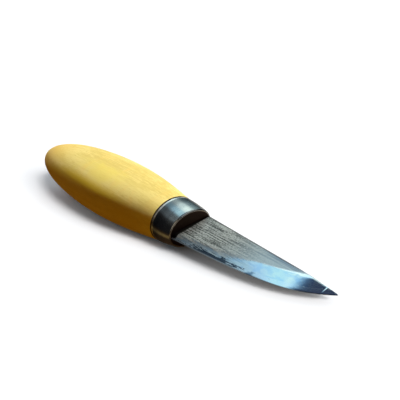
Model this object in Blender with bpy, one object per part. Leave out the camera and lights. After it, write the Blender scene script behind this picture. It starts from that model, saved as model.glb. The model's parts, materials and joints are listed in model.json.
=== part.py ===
# Wood carving knife: birch handle, drawn steel collar and a laminated blade with a stick tang.
# All sizes are in metres and all angles in degrees. The knife is drawn along X with its tip forward, its
# spine towards +Y and its flats facing up and down. Zero is the middle of the collar's front face. At the
# end the knife is laid on its side as it comes to rest, nose down, with its lowest point on the ground.
import math

import bmesh
import bpy
from mathutils import Matrix, Vector

# Handle
HANDLE_LENGTH = 0.0915        # wood from the collar to the butt
HANDLE_WIDTH = 0.0300         # at the belly, across the blade's width
HANDLE_THICKNESS = 0.0210     # at the belly, across the blade's flats
BELLY_FROM_COLLAR = 0.0390    # where the handle is widest
BELLY_FRONT_REACH = 0.0166    # how long the belly stays full towards the collar
BELLY_REAR_REACH = 0.0229     # how long it stays full towards the butt
BUTT_FULLNESS = 0.713         # roundness of the butt, 0 is pointed and 1 is blunt
NECK_WIDTH = 0.0200           # where the wood meets the collar
NECK_THICKNESS = 0.0162
NECK_FLARE = 9.6              # angle that the wood opens behind the collar
NECK_REACH = 0.0108           # how long the neck holds that angle

# Collar
COLLAR_LENGTH = 0.0098
COLLAR_WALL = 0.0008
COLLAR_PROUD = 0.0002         # how far its rear edge stands above the wood
COLLAR_LIP = 0.0002           # rounding of the rear edge
COLLAR_SHOULDER = 0.0008      # radius between its side and its front face
COLLAR_FACE_WIDTH = 0.0174    # flat of the front face
COLLAR_FACE_THICKNESS = 0.0116

# Blade
BLADE_LENGTH = 0.0600         # from the collar to the tip
BLADE_THICKNESS = 0.0027
CORE_THICKNESS = 0.0008       # hard layer in the middle
HEEL_TO_SPINE = 0.00865       # spine above the tang's axis, at the collar
HEEL_TO_EDGE = 0.0088         # edge below the tang's axis, at the collar
TIP_HEIGHT = 0.0053           # tip above the tang's axis
TIP_WIDTH = 0.0004            # small flat left at the very tip
EDGE_LAND = 0.00008           # thickness left at the cutting edge
EDGE_RISE = 5.0               # angle that the edge climbs from the heel
EDGE_RUN = 0.0317             # how long it keeps that climb
SWEEP_ANGLE = 40.8            # angle that the edge climbs at the tip
SWEEP_RUN = 0.0126            # how long the sweep to the tip is
BEVEL_AT_HEEL = 0.0018        # height of the ground bevel at the collar
BEVEL_AT_TIP = 0.0090         # height it would have at the tip
SPINE_BREAK = 0.0002          # broken corner along the spine

# Tang
TANG_LENGTH = 0.0620          # from the collar's front face to the tang's end
TANG_WIDTH = 0.0090           # at the blade
TANG_END_WIDTH = 0.0050
BEDDING_THICKNESS = 0.0010    # set bedding around the tang

# Clearances
SEAT_GAP = 0.0002             # collar on wood, and blade before the collar
SLOT_GAP = 0.0002             # tang in the collar's slot
WELD_GAP = 0.00005            # between the blade's layers
BEDDING_GAP = 0.00005         # on both sides of the bedding

# Lying at rest
LIE_ANGLE = 4.5               # how far the blade dips when the knife lies on its side

# Fineness
RING_POINTS = 28              # points around the handle and the collar, an odd multiple of 4
BEDDING_POINTS = 4            # points around the bedding, an odd multiple of 4
HANDLE_STEPS = 10             # rings from collar to belly, and again from belly to butt
SHOULDER_STEPS = 5            # rings around the collar's shoulder
BLADE_STEPS = 30              # sections along the blade
SMOOTH_ANGLE = 32.0           # sharper corners than this stay crisp
HALVINGS = 40                 # steps to find where the bevel meets the spine
MERGE = 1e-7                  # points closer than this are one

# Places that several pieces share
WOOD_FRONT = -(COLLAR_LENGTH + SEAT_GAP)
SPIGOT_FRONT = -(COLLAR_WALL + SEAT_GAP)
COLLAR_FILLET = max(COLLAR_SHOULDER - COLLAR_WALL, COLLAR_LIP)
HALF_BLADE = BLADE_THICKNESS / 2
HALF_CORE = CORE_THICKNESS / 2
HALF_LAND = EDGE_LAND / 2


def clear_scene():
    for thing in list(bpy.data.objects):
        bpy.data.objects.remove(thing, do_unlink=True)


def finish(name, colour, roughness, metallic):
    material = bpy.data.materials.new(name)
    material.use_nodes = True
    shader = material.node_tree.nodes["Principled BSDF"]
    shader.inputs["Base Color"].default_value = (*colour, 1.0)
    shader.inputs["Roughness"].default_value = roughness
    shader.inputs["Metallic"].default_value = metallic
    material.diffuse_color = (*colour, 1.0)
    return material


def rise(angle):
    return math.tan(math.radians(angle))


def bezier(points, t):
    a, b, c, d = (Vector(point) for point in points)
    s = 1.0 - t
    return a * s**3 + b * (3 * t * s * s) + c * (3 * t * t * s) + d * t**3


# An oval section across the knife. Its flats keep to the size, and one of them lies underneath.
def oval(x, half_y, half_z):
    half_step = math.pi / RING_POINTS
    out = 1.0 / math.cos(half_step)
    turns = [half_step * (2 * i + 1) for i in range(RING_POINTS)]
    return [Vector((x, half_y * out * math.cos(a), half_z * out * math.sin(a))) for a in turns]


# A rectangular section, its points in step with an oval's: each side takes a quarter of them.
def oblong(x, half_y, half_z, count=RING_POINTS):
    ring = []
    for i in range(count):
        turn = 8.0 * (i + 0.5) / count + 1.0
        side = int(turn // 2.0) % 4
        along = turn % 2.0 - 1.0
        y, z = ((1, along), (-along, 1), (-1, -along), (along, -1))[side]
        ring.append(Vector((x, half_y * y, half_z * z)))
    return ring


# One closed skin through a row of sections. A section that shrinks to a point needs no cap.
def skin(rings, closed=False):
    bm = bmesh.new()
    loops = [[bm.verts.new(point) for point in ring] for ring in rings]
    pairs = list(zip(loops, loops[1:]))
    if closed:
        pairs.append((loops[-1], loops[0]))
    for back, front in pairs:
        for i in range(len(back)):
            j = (i + 1) % len(back)
            bm.faces.new((back[i], back[j], front[j], front[i]))
    if not closed:
        bm.faces.new(loops[0])
        bm.faces.new(loops[-1])
    bmesh.ops.remove_doubles(bm, verts=bm.verts, dist=MERGE)
    bmesh.ops.dissolve_degenerate(bm, edges=bm.edges, dist=MERGE)
    return bm


def piece(name, bm, material, parent):
    bmesh.ops.recalc_face_normals(bm, faces=bm.faces)
    mesh = bpy.data.meshes.new(name)
    bm.to_mesh(mesh)
    bm.free()
    mesh.shade_smooth()
    mesh.set_sharp_from_angle(angle=math.radians(SMOOTH_ANGLE))
    mesh.materials.append(material)
    made = bpy.data.objects.new(name, mesh)
    made.parent = parent
    bpy.context.collection.objects.link(made)
    return made


def both_ways(size):
    return Vector((size, size))


# Half the collar's width and thickness at x, drawn in by a wall or a gap. Its side tapers from the wood to
# the shoulder.
def collar_half(x, inset):
    rear = Vector((NECK_WIDTH, NECK_THICKNESS)) / 2 + both_ways(COLLAR_PROUD)
    front = Vector((COLLAR_FACE_WIDTH, COLLAR_FACE_THICKNESS)) / 2 + both_ways(COLLAR_SHOULDER)
    share = (x + COLLAR_LENGTH) / (COLLAR_LENGTH - COLLAR_SHOULDER)
    return rear.lerp(front, max(share, 0.0)) - both_ways(inset)


def tang_half(x):
    return (TANG_WIDTH + (TANG_END_WIDTH - TANG_WIDTH) * -x / TANG_LENGTH) / 2


# Outline of the wood from collar to butt: distance along the knife and half the size across it.
def handle_outline(neck, belly):
    belly_x = WOOD_FRONT - BELLY_FROM_COLLAR
    butt_x = WOOD_FRONT - HANDLE_LENGTH
    front = (
        (WOOD_FRONT, neck),
        (WOOD_FRONT - NECK_REACH, neck + NECK_REACH * rise(NECK_FLARE)),
        (belly_x + BELLY_FRONT_REACH, belly),
        (belly_x, belly),
    )
    rear = (
        (belly_x, belly),
        (belly_x - BELLY_REAR_REACH, belly),
        (butt_x, belly * BUTT_FULLNESS),
        (butt_x, 0.0),
    )
    steps = [i / HANDLE_STEPS for i in range(HANDLE_STEPS)]
    return [bezier(front, t) for t in steps] + [bezier(rear, t) for t in steps + [1.0]]


# The barrel from butt to neck, then the spigot that the collar covers, then the blind hole for the tang.
def handle(material, parent):
    wide = handle_outline(NECK_WIDTH / 2, HANDLE_WIDTH / 2)
    thick = handle_outline(NECK_THICKNESS / 2, HANDLE_THICKNESS / 2)
    rings = [oval(w.x, w.y, t.y) for w, t in zip(reversed(wide), reversed(thick))]
    inset = COLLAR_WALL + SEAT_GAP
    chamfer_x = SPIGOT_FRONT - COLLAR_FILLET
    rings.append(oval(WOOD_FRONT, *collar_half(WOOD_FRONT, inset)))
    rings.append(oval(-COLLAR_LENGTH, *collar_half(-COLLAR_LENGTH, inset)))
    rings.append(oval(chamfer_x, *collar_half(chamfer_x, inset)))
    rings.append(oval(SPIGOT_FRONT, *collar_half(chamfer_x, inset + COLLAR_FILLET)))
    hole_end = -(TANG_LENGTH + BEDDING_THICKNESS)
    hole_z = HALF_BLADE + BEDDING_THICKNESS
    rings.append(oblong(SPIGOT_FRONT, tang_half(SPIGOT_FRONT) + BEDDING_THICKNESS, hole_z))
    rings.append(oblong(hole_end, tang_half(-TANG_LENGTH) + BEDDING_THICKNESS, hole_z))
    return piece("handle", skin(rings), material, parent)


# The cup: rear edge, tapered side, rounded shoulder, front face, slot, and back along the inside.
def collar(material, parent):
    rear = -COLLAR_LENGTH
    rings = [
        oval(rear, *collar_half(rear, COLLAR_WALL)),
        oval(rear, *collar_half(rear, COLLAR_LIP)),
        oval(rear + COLLAR_LIP, *collar_half(rear + COLLAR_LIP, 0.0)),
    ]
    turns = [math.pi / 2 * i / SHOULDER_STEPS for i in range(SHOULDER_STEPS + 1)]
    for a in turns:
        out = COLLAR_SHOULDER * math.cos(a)
        x = COLLAR_SHOULDER * (math.sin(a) - 1.0)
        rings.append(oval(x, COLLAR_FACE_WIDTH / 2 + out, COLLAR_FACE_THICKNESS / 2 + out))
    slot = (TANG_WIDTH / 2 + SLOT_GAP, HALF_BLADE + SLOT_GAP)
    rings.append(oblong(0.0, *slot))
    rings.append(oblong(-COLLAR_WALL, *slot))
    inner_x = -(COLLAR_WALL + COLLAR_FILLET)
    for a in reversed(turns):
        inset = COLLAR_WALL + COLLAR_FILLET * (1.0 - math.cos(a))
        rings.append(oval(inner_x + COLLAR_FILLET * math.sin(a), *collar_half(inner_x, inset)))
    return piece("collar", skin(rings, closed=True), material, parent)


# A sleeve with a closed rear end, between the tang and the walls of its hole.
def tang_bedding(material, parent):
    outer = BEDDING_THICKNESS - BEDDING_GAP
    rings = []
    for x, at, wall in (
        (-(TANG_LENGTH + outer), -TANG_LENGTH, outer),
        (SPIGOT_FRONT, SPIGOT_FRONT, outer),
        (SPIGOT_FRONT, SPIGOT_FRONT, BEDDING_GAP),
        (-(TANG_LENGTH + BEDDING_GAP), -TANG_LENGTH, BEDDING_GAP),
    ):
        rings.append(oblong(x, tang_half(at) + wall, HALF_BLADE + wall, BEDDING_POINTS))
    return piece("tang_bedding", skin(rings), material, parent)


# The cutting edge seen from above, from the heel (t is 0) to the tip (t is 1).
def edge_point(t):
    heel = Vector((SEAT_GAP, -HEEL_TO_EDGE))
    tip = Vector((BLADE_LENGTH, TIP_HEIGHT - TIP_WIDTH))
    climb = Vector((EDGE_RUN, EDGE_RUN * rise(EDGE_RISE)))
    sweep = Vector((SWEEP_RUN, SWEEP_RUN * rise(SWEEP_ANGLE)))
    return bezier((heel, heel + climb, tip - sweep, tip), t)


def spine_y(x):
    return HEEL_TO_SPINE + (TIP_HEIGHT - HEEL_TO_SPINE) * x / BLADE_LENGTH


def bevel_height(x):
    return BEVEL_AT_HEEL + (BEVEL_AT_TIP - BEVEL_AT_HEEL) * x / BLADE_LENGTH


# Where the ground bevel is at height z above the blade's middle plane, and how high it is at y.
def bevel_y(t, z):
    edge = edge_point(t)
    return edge.y + bevel_height(edge.x) * (z - HALF_LAND) / (HALF_BLADE - HALF_LAND)


def bevel_z(t, y):
    edge = edge_point(t)
    return HALF_LAND + (HALF_BLADE - HALF_LAND) * (y - edge.y) / bevel_height(edge.x)


# The section at which the bevel at height z runs out on the spine, found by halving the blade.
def runs_out(z):
    low, high = 0.0, 1.0
    for _ in range(HALVINGS):
        middle = (low + high) / 2
        if bevel_y(middle, z) < spine_y(edge_point(middle).x):
            low = middle
        else:
            high = middle
    return low


def sections(*marks):
    steps = []
    for start, end in zip(marks, marks[1:]):
        count = max(1, round((end - start) * BLADE_STEPS))
        steps += [start + (end - start) * i / count for i in range(count)]
    return steps + [marks[-1]]


def core_ring(t):
    edge = edge_point(t)
    spine = spine_y(edge.x)
    border = min(bevel_y(t, HALF_CORE), spine)
    top = min(HALF_CORE, bevel_z(t, spine))
    upper = [(edge.y, HALF_LAND), (border, top), (spine, top)]
    lower = [(y, -z) for y, z in reversed(upper)]
    return [Vector((edge.x, y, z)) for y, z in upper + lower]


# One outer layer: thin border at the bevel, top of the bevel, broken corner and foot of the spine.
def cladding_ring(t, side):
    edge = edge_point(t)
    spine = spine_y(edge.x)
    floor = HALF_CORE + WELD_GAP
    border = min(bevel_y(t, floor), spine)
    shoulder = min(bevel_y(t, HALF_BLADE), spine)
    top = max(min(HALF_BLADE, bevel_z(t, spine)), floor)
    broken = min(SPINE_BREAK, (spine - shoulder) / 2)
    outline = [
        (border, floor),
        (shoulder, top),
        (spine - broken, top),
        (spine, top - broken),
        (spine, floor),
    ]
    return [Vector((edge.x, y, side * z)) for y, z in outline]


# Draws the tang out of the middle of a layer's heel.
def draw_tang(bm):
    heel = [face for face in bm.faces if all(abs(v.co.x - SEAT_GAP) < MERGE for v in face.verts)]
    for side in (-1, 1):
        geometry = heel + [e for face in heel for e in face.edges] + [v for face in heel for v in face.verts]
        cut = bmesh.ops.bisect_plane(
            bm,
            geom=list(dict.fromkeys(geometry)),
            dist=MERGE,
            plane_co=(0.0, side * TANG_WIDTH / 2, 0.0),
            plane_no=(0.0, 1.0, 0.0),
        )
        heel = [part for part in cut["geom"] if isinstance(part, bmesh.types.BMFace)]
    root = min(heel, key=lambda face: abs(face.calc_center_median().y))
    drawn = bmesh.ops.extrude_discrete_faces(bm, faces=[root])["faces"][0]
    for v in drawn.verts:
        v.co.x = -TANG_LENGTH
        v.co.y = math.copysign(TANG_END_WIDTH / 2, v.co.y)


def blade_core(material, parent):
    bm = skin([core_ring(t) for t in sections(0.0, runs_out(HALF_CORE), 1.0)])
    draw_tang(bm)
    return piece("blade_core", bm, material, parent)


def blade_cladding(name, side, material, parent):
    marks = (0.0, runs_out(HALF_BLADE), runs_out(HALF_CORE + WELD_GAP))
    bm = skin([cladding_ring(t, side) for t in sections(*marks)])
    draw_tang(bm)
    return piece(name, bm, material, parent)


# Lays the knife down: the blade dips, the lowest point touches the ground, the middle of its box is at zero.
def lay_down(rest, pieces):
    turn = Matrix.Rotation(math.radians(LIE_ANGLE), 3, "Y")
    points = [turn @ v.co for made in pieces for v in made.data.vertices]
    low = Vector([min(p[axis] for p in points) for axis in range(3)])
    high = Vector([max(p[axis] for p in points) for axis in range(3)])
    rest.rotation_euler = turn.to_euler()
    rest.location = (-(low.x + high.x) / 2, -(low.y + high.y) / 2, -low.z)
    bpy.context.view_layer.update()


def knife():
    clear_scene()
    rest = bpy.data.objects.new("knife_at_rest", None)
    bpy.context.collection.objects.link(rest)
    birch = finish("oiled_birch", (0.72, 0.49, 0.17), 0.42, 0.0)
    dark_steel = finish("dark_polished_steel", (0.25, 0.25, 0.24), 0.18, 1.0)
    grey_steel = finish("grey_ground_steel", (0.42, 0.44, 0.43), 0.38, 1.0)
    bright_steel = finish("bright_edge_steel", (0.62, 0.66, 0.70), 0.15, 1.0)
    pitch = finish("set_bedding", (0.10, 0.06, 0.03), 0.70, 0.0)
    pieces = [
        handle(birch, rest),
        collar(dark_steel, rest),
        blade_core(bright_steel, rest),
        blade_cladding("blade_cladding_upper", 1, grey_steel, rest),
        blade_cladding("blade_cladding_lower", -1, grey_steel, rest),
        tang_bedding(pitch, rest),
    ]
    lay_down(rest, pieces)


knife()
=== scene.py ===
# Looks of a wood carving knife: birch handle, drawn steel collar and laminated blade.
import json
import math

import bmesh
import bpy
from mathutils import Matrix, Vector


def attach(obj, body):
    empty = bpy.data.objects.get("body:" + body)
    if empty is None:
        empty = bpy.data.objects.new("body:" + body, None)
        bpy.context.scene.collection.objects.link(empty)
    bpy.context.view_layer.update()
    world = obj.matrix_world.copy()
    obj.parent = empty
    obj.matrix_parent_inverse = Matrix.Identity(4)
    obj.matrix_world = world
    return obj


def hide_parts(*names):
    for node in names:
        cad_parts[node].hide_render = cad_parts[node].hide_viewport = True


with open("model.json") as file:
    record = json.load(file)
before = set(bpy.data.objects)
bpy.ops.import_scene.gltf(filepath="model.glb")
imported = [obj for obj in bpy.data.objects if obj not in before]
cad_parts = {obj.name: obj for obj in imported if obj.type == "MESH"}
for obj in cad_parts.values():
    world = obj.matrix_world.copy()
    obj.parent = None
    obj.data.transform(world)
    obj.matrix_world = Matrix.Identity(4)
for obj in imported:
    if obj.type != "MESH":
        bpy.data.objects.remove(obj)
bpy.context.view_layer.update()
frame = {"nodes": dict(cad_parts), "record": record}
mm = 0.001
print("frame:", len(frame["nodes"]), "nodes loaded")

# The knife is drawn in millimetres along X, tip forward, spine towards +Y, zero in the collar's front face.
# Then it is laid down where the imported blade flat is.
flatPoint = {"mount": "blade_flat_upper", "onKnife": (18.0, 2.0, 1.35)}
flatMount = next(m for m in frame["record"]["mounts"] if m["name"] == flatPoint["mount"])
lieAngle = math.atan2(flatMount["axis"][0], flatMount["axis"][2])
lieTurn = Matrix.Rotation(lieAngle, 4, "Y")
lieShift = Vector(flatMount["pos_m"]) - lieTurn.to_3x3() @ Vector(flatPoint["onKnife"]) * mm
layDown = Matrix.Translation(lieShift) @ lieTurn
fromKnife = layDown @ Matrix.Scale(mm, 4)


def addObject(name, data):
    made = bpy.data.objects.new(name, data)
    bpy.context.collection.objects.link(made)
    return made


# Helpers that both kinds of node tree share
def put(tree, socket, value):
    if isinstance(value, bpy.types.NodeSocket):
        tree.links.new(value, socket)
    else:
        socket.default_value = value


# inputs in their order, or by name or number
def fill(tree, node, values):
    for key, value in values.items() if isinstance(values, dict) else enumerate(values):
        put(tree, node.inputs[key], value)


def addNode(tree, kind, values=(), **settings):
    node = tree.nodes.new(kind)
    for name, setting in settings.items():
        setattr(node, name, setting)
    fill(tree, node, values)
    return node


def addMath(tree, operation, *values):
    return addNode(tree, "ShaderNodeMath", values, operation=operation).outputs[0]


def plus(tree, a, b):
    return addMath(tree, "ADD", a, b)


def less(tree, a, b):
    return addMath(tree, "SUBTRACT", a, b)


def times(tree, a, b):
    return addMath(tree, "MULTIPLY", a, b)


# sum of pairs of value and weight
def blend(tree, pairs):
    total = 0.0
    for value, weight in pairs:
        total = plus(tree, times(tree, value, weight), total)
    return total


def addVectorMath(tree, operation, *values):
    node = addNode(tree, "ShaderNodeVectorMath", values, operation=operation)
    return node.outputs["Value" if operation == "LENGTH" else "Vector"]


def addXyz(tree, *values):
    return addNode(tree, "ShaderNodeCombineXYZ", values).outputs[0]


def splitXyz(tree, vector):
    return addNode(tree, "ShaderNodeSeparateXYZ", [vector]).outputs


def addRamp(tree, value, low, high, atLow=0.0, atHigh=1.0):
    values = value, low, high, atLow, atHigh
    return addNode(tree, "ShaderNodeMapRange", values, interpolation_type="SMOOTHSTEP").outputs[0]


# from one value to another as a share goes from 0 to 1
def fade(tree, share, first, second):
    return addRamp(tree, share, 0.0, 1.0, first, second)


# one between the middle limits, fading to nothing at the outer ones
def addBand(tree, value, limits):
    rise = addRamp(tree, value, limits[0], limits[1])
    return times(tree, rise, addRamp(tree, value, limits[2], limits[3], 1.0, 0.0))


# Geometry Nodes: one tree turns any profile into an oval skin, two more draw the profiles
def startTree(name, sockets):
    tree = bpy.data.node_groups.new(name, "GeometryNodeTree")
    for label, kind in sockets.items():
        tree.interface.new_socket(name=label, in_out="INPUT", socket_type="NodeSocket" + kind)
    tree.interface.new_socket(name="Geometry", in_out="OUTPUT", socket_type="NodeSocketGeometry")
    entry = tree.nodes.new("NodeGroupInput")
    leave = tree.nodes.new("NodeGroupOutput")
    return tree, entry.outputs, leave.inputs[0]


# one named input for each size
def socketsFor(sizes):
    sockets = {label: "Int" if isinstance(size, int) else "Float" for label, size in sizes.items()}
    sockets["Material"] = "Material"
    return sockets


def addStep(tree, kind, geometry, **values):
    return addNode(tree, kind, {0: geometry, **values}).outputs[0]


def asPoints(tree, curve):
    return addNode(tree, "GeometryNodeCurveToPoints", [curve], mode="EVALUATED").outputs["Points"]


def addBend(tree, start, startHandle, endHandle, end, steps):
    values = steps, start, startHandle, endHandle, end
    node = addNode(tree, "GeometryNodeCurvePrimitiveBezierSegment", values, mode="POSITION")
    return asPoints(tree, node.outputs[0])


def addRun(tree, start, end):
    node = addNode(tree, "GeometryNodeCurvePrimitiveLine", {"Start": start, "End": end})
    return asPoints(tree, node.outputs[0])


# marks profile points whose ring is an oblong instead of an oval
def markSquare(tree, points):
    kind = "GeometryNodeStoreNamedAttribute"
    values = {"Geometry": points, "Name": "square", "Value": 1.0}
    return addNode(tree, kind, values, data_type="FLOAT", domain="POINT").outputs[0]


def joinRow(tree, parts):
    node = tree.nodes.new("GeometryNodeJoinGeometry")
    for part in reversed(parts):
        tree.links.new(part, node.inputs[0])
    return node.outputs[0]


ovalTurn = {"oblongPower": 0.1, "mergeWithin": 1e-4, "creaseAngle": math.radians(38)}


# A profile point holds (x, half width, half thickness) and becomes one ring.
def makeOvalTurn():
    tree, given, result = startTree("ovalTurn", {"Profile": "Geometry", "Around": "Int"})
    size = addNode(tree, "GeometryNodeAttributeDomainSize", [given["Profile"]], component="POINTCLOUD")
    rings = size.outputs["Point Count"]
    columns = plus(tree, given["Around"], 1.0)
    grid = addNode(tree, "GeometryNodeMeshGrid", (1.0, 1.0, rings, columns))
    place = splitXyz(tree, addNode(tree, "GeometryNodeInputPosition").outputs[0])
    along, around = (plus(tree, side, 0.5) for side in place[:2])  # the grid is centred, these start at 0
    ring = addMath(tree, "ROUND", times(tree, along, less(tree, rings, 1.0)))
    angle = times(tree, around, math.tau)

    def atRing(kind, value):
        values = {"Geometry": given["Profile"], "Value": value, "Index": ring}
        return addNode(tree, "GeometryNodeSampleIndex", values, data_type=kind).outputs[0]

    square = addNode(tree, "GeometryNodeInputNamedAttribute", {"Name": "square"}, data_type="FLOAT")
    spot = addNode(tree, "GeometryNodeInputPosition").outputs[0]
    profile = splitXyz(tree, atRing("FLOAT_VECTOR", spot))
    power = fade(tree, atRing("FLOAT", square.outputs[0]), 1.0, ovalTurn["oblongPower"])

    def across(function, half):
        wave = addMath(tree, function, angle)
        rounded = addMath(tree, "POWER", addMath(tree, "ABSOLUTE", wave), power)
        return times(tree, half, times(tree, rounded, addMath(tree, "SIGN", wave)))

    spot = addXyz(tree, profile[0], across("COSINE", profile[1]), across("SINE", profile[2]))
    skin = addStep(tree, "GeometryNodeSetPosition", grid.outputs["Mesh"], Position=spot)
    skin = addStep(tree, "GeometryNodeMergeByDistance", skin, Distance=ovalTurn["mergeWithin"])
    tree.links.new(skin, result)
    return tree


ovalTree = makeOvalTurn()


# turns the joined profile and ends the tree
def closeTree(tree, profile, given, result, finish=None):
    values = {"Profile": profile, "Around": given["Around"]}
    skin = addNode(tree, "GeometryNodeGroup", values, node_tree=ovalTree).outputs[0]
    if finish:
        skin = finish(skin)
    bend = addNode(tree, "GeometryNodeInputMeshEdgeAngle").outputs["Unsigned Angle"]
    soft = addMath(tree, "LESS_THAN", bend, ovalTurn["creaseAngle"])
    values = {"Geometry": skin, "Shade Smooth": soft}
    skin = addNode(tree, "GeometryNodeSetShadeSmooth", values, domain="EDGE").outputs[0]
    skin = addStep(tree, "GeometryNodeRealizeInstances", skin)
    skin = addStep(tree, "GeometryNodeSetMaterial", skin, Material=given["Material"])
    tree.links.new(skin, result)
    return tree


def outwards(mesh):
    bm = bmesh.new()
    bm.from_mesh(mesh)
    bmesh.ops.recalc_face_normals(bm, faces=bm.faces)
    bm.to_mesh(mesh)
    bm.free()


# runs a tree once and keeps its result as a plain mesh
def growPiece(name, tree, sizes, material):
    piece = addObject(name, bpy.data.meshes.new(name + "Seed"))
    modifier = piece.modifiers.new("shape", "NODES")
    modifier.node_group = tree
    sockets = {s.name: s.identifier for s in tree.interface.items_tree if s.in_out == "INPUT"}
    for label, value in sizes.items():
        modifier[sockets[label]] = value
    modifier[sockets["Material"]] = material
    mesh = bpy.data.meshes.new_from_object(piece.evaluated_get(bpy.context.evaluated_depsgraph_get()))
    mesh.name = name
    piece.modifiers.remove(modifier)
    piece.data = mesh
    outwards(mesh)
    mesh.transform(fromKnife)
    print(name + ":", len(mesh.polygons), "faces")
    return piece


def meshFrom(bm, name, material):
    mesh = bpy.data.meshes.new(name)
    bm.to_mesh(mesh)
    bm.free()
    mesh.materials.append(material)
    return mesh


def wear(piece, node):
    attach(piece, "root")
    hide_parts(node)


# Materials: patterns run in the knife's own axes, in millimetres.
# A noise is given by its stretch along X, Y and Z, then detail, roughness and distortion.
# A run is given by its two ends, and by the values there where these aren't 0 and 1, a band by four limits.
def startMaterial(name):
    material = bpy.data.materials.new(name)
    material.use_nodes = True
    return material, material.node_tree


def startFinish(name, metallic, roughness):
    material, tree = startMaterial(name)
    shader = tree.nodes["Principled BSDF"]
    fill(tree, shader, {"Metallic": metallic, "Roughness": roughness})
    place = addNode(tree, "ShaderNodeMapping", {
        "Vector": addNode(tree, "ShaderNodeTexCoord").outputs["Object"],
        "Location": -(lieTurn.to_3x3().transposed() @ lieShift) / mm,
        "Rotation": (0.0, -lieAngle, 0.0),
        "Scale": (1 / mm,) * 3,
    })
    return material, tree, shader, place.outputs[0]


def addNoise(tree, vector, stretch, detail=3.0, roughness=0.55, distortion=0.0):
    return addNode(tree, "ShaderNodeTexNoise", {
        "Vector": addVectorMath(tree, "MULTIPLY", vector, stretch),
        "Scale": 1.0,
        "Detail": detail,
        "Roughness": roughness,
        "Distortion": distortion,
    }).outputs[0]


# a noise as a swing to both sides of zero
def swing(tree, noise, reach):
    return times(tree, less(tree, noise, 0.5), reach)


def mixColour(tree, share, a, b):
    a, b = (c if isinstance(c, bpy.types.NodeSocket) else (*c, 1.0) for c in (a, b))
    return addNode(tree, "ShaderNodeMix", {0: share, 6: a, 7: b}, data_type="RGBA").outputs[2]


def addBump(tree, shader, height, depth, strength):
    values = {"Strength": strength, "Distance": depth * mm, "Height": height}
    tree.links.new(addNode(tree, "ShaderNodeBump", values).outputs[0], shader.inputs["Normal"])


def readAttribute(tree, name):
    return addNode(tree, "ShaderNodeAttribute", attribute_name=name).outputs["Fac"]


# Birch handle
birchLook = {
    "pale": (0.93, 0.77, 0.280),
    "honey": (0.72, 0.56, 0.150),
    # painted light: paler wood on the -Y flank above the terminator keeps the lit side bright further down
    "flankLight": (0.98, 0.84, 0.270),
    "lemon": (0.94, 0.79, 0.155),
    "amber": (0.97, 0.66, 0.160),
    # painted shade: darker, more orange wood on the lower -Y flank, below the terminator
    "flankShade": (0.80, 0.585, 0.020),
    "fleck": (0.50, 0.31, 0.06),
    "seam": (0.030, 0.018, 0.010),
    "swayNoise": ((0.016, 0.06, 0.06), 2.0),
    "fibreNoise": ((0.06, 1.7, 1.7), 4.0, 0.70),
    "poreNoise": ((0.40, 3.6, 3.6), 3.0, 0.65),
    "cloudNoise": ((0.10, 0.22, 0.22), 3.0, 0.6, 0.4),
    "flameNoise": ((0.20, 0.07, 0.07), 3.0, 0.6, 0.6),
    "pith": (0.0, 9.0, 40.0),
    "ringWidth": 4.2,
    "ringSway": 11.0,
    "grainParts": (0.12, 0.50, 0.38),  # of ring, fibre and pore
    "grainRun": (0.39, 0.61),
    "flankLightBand": (-13.0, -8.5, -5.0, 1.0),
    "flankLightShare": 0.45,
    "lemonAt": (-46.0, -6.0, 9.0),
    "lemonReach": (15.0, 5.5, 6.0),
    "lemonCloud": 2.2,
    "lemonRun": (-0.2, 0.9, 0.0, 0.5),
    "flameRun": (0.52, 0.70, 0.0, 0.22),
    "buttRun": (-66.0, -96.0, 0.0, 0.75),
    "flankShadeRun": (-9.2, -12.5, 0.0, 0.85),
    "fleckRun": (0.36, 0.46, 0.0, 0.35),
    "seamRun": (-10.24, -10.12),
    "roughness": 0.55,
    "satinRun": (0.3, 0.7, 0.49, 0.65),
    "shine": 0.3,
    "grainDepth": 0.03,
    "grainStrength": 0.5,
}


def makeBirch():
    look = birchLook
    material, tree, shader, knife = startFinish("oiledBirch", 0.0, look["roughness"])
    x, y, z = splitXyz(tree, knife)
    noises = ("swayNoise", "fibreNoise", "poreNoise", "cloudNoise", "flameNoise")
    sway, fibre, pore, cloud, flame = (addNoise(tree, knife, *look[noise]) for noise in noises)
    fromPith = addVectorMath(tree, "ADD", addXyz(tree, 0.0, y, z), look["pith"])
    layers = plus(tree, addVectorMath(tree, "LENGTH", fromPith), times(tree, sway, look["ringSway"]))
    phase = times(tree, layers, math.tau / look["ringWidth"])
    ring = addRamp(tree, addMath(tree, "SINE", phase), -1.0, 1.0)
    grain = blend(tree, zip((ring, fibre, pore), look["grainParts"]))
    wood = mixColour(tree, addRamp(tree, grain, *look["grainRun"]), look["pale"], look["honey"])
    # painted light: the -Y flank is made paler where the light falls across it
    flankLight = times(tree, addBand(tree, y, look["flankLightBand"]), look["flankLightShare"])
    wood = mixColour(tree, flankLight, wood, look["flankLight"])
    fromSpot = addVectorMath(tree, "SUBTRACT", knife, look["lemonAt"])
    fromSpot = addVectorMath(tree, "DIVIDE", fromSpot, look["lemonReach"])
    spot = less(tree, times(tree, cloud, look["lemonCloud"]), addVectorMath(tree, "LENGTH", fromSpot))
    tints = (
        (spot, "lemonRun", "lemon"),
        (flame, "flameRun", "amber"),
        (x, "buttRun", "amber"),
        # painted shade on the lower flank
        (y, "flankShadeRun", "flankShade"),
        (times(tree, fibre, pore), "fleckRun", "fleck"),
        (x, "seamRun", "seam"),
    )
    for value, run, tint in tints:
        wood = mixColour(tree, addRamp(tree, value, *look[run]), wood, look[tint])
    fill(tree, shader, {
        "Base Color": wood,
        "Roughness": addRamp(tree, grain, *look["satinRun"]),
        "Specular IOR Level": look["shine"],
    })
    addBump(tree, shader, plus(tree, fibre, pore), look["grainDepth"], look["grainStrength"])
    return material


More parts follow.
